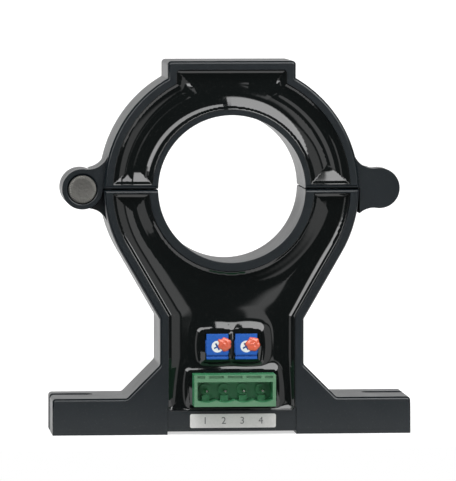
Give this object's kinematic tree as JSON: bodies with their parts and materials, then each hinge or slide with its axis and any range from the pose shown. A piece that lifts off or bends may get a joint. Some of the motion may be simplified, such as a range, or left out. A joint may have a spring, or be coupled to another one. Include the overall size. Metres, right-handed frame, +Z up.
{
  "type": "split-core hall effect current sensor",
  "caption": "Hinged split-core current sensor with a round conductor window, potted front face, slotted base, pluggable header and trimmers.",
  "frame": {"origin": "centre of the base's underside, midway between front and back of the case", "axes": "+X to the right seen from the potted front, +Y from the front to the back along the conductor, +Z up"},
  "size_m": [0.098, 0.0318, 0.1019],
  "materials": {
    "housing_plastic": "black moulded plastic, satin",
    "potting_resin": "black cast epoxy, mirror gloss",
    "knurled_steel": "turned and knurled, satin grey",
    "screw_steel": "zinc plated",
    "insert_brass": "turned",
    "core_steel": "wound electrical steel, bare",
    "element_case": "moulded, matt",
    "lead_frame": "tinned strip",
    "board_laminate": "green solder resist",
    "chip_case": "moulded, matt",
    "resistor_ceramic": "glazed chip",
    "capacitor_can": "drawn can",
    "header_plastic": "green moulding, satin",
    "contact_tin": "tin plated",
    "trimmer_plastic": "blue moulding, satin",
    "rotor_plastic": "white moulding, satin",
    "lead_tin": "tinned wire",
    "seal_lacquer": "orange-red sealing lacquer",
    "label_film": "printed film, satin"
  },
  "bodies": {
    "base_half": {"lower_housing": "housing_plastic", "lower_core": "core_steel", "hall_element_left": "element_case", "hall_element_right": "element_case", "hall_leads_left": "lead_frame", "hall_leads_right": "lead_frame", "lower_potting": "potting_resin", "circuit_board": "board_laminate", "amplifier_chip": "chip_case", "reference_chip": "chip_case", "chip_resistors": "resistor_ceramic", "supply_capacitor_left": "capacitor_can", "supply_capacitor_right": "capacitor_can", "header_body": "header_plastic", "contact_pin_1": "contact_tin", "contact_pin_2": "contact_tin", "contact_pin_3": "contact_tin", "contact_pin_4": "contact_tin", "zero_trimmer_body": "trimmer_plastic", "gain_trimmer_body": "trimmer_plastic", "zero_trimmer_rotor": "rotor_plastic", "gain_trimmer_rotor": "rotor_plastic", "zero_trimmer_leads": "lead_tin", "gain_trimmer_leads": "lead_tin", "zero_trimmer_seal": "seal_lacquer", "gain_trimmer_seal": "seal_lacquer", "terminal_label": "label_film"},
    "upper_half": {"upper_housing": "housing_plastic", "upper_core": "core_steel", "upper_potting": "potting_resin", "hinge_pin": "knurled_steel", "lock_insert": "insert_brass", "lock_screw": "screw_steel"}
  },
  "joints": [
    {"name": "core_hinge", "type": "hinge", "parent": "base_half", "child": "upper_half", "pos_m": [-0.04065, 0, 0.067], "axis": [0, -1, 0], "range_deg": [0, 120]}
  ]
}
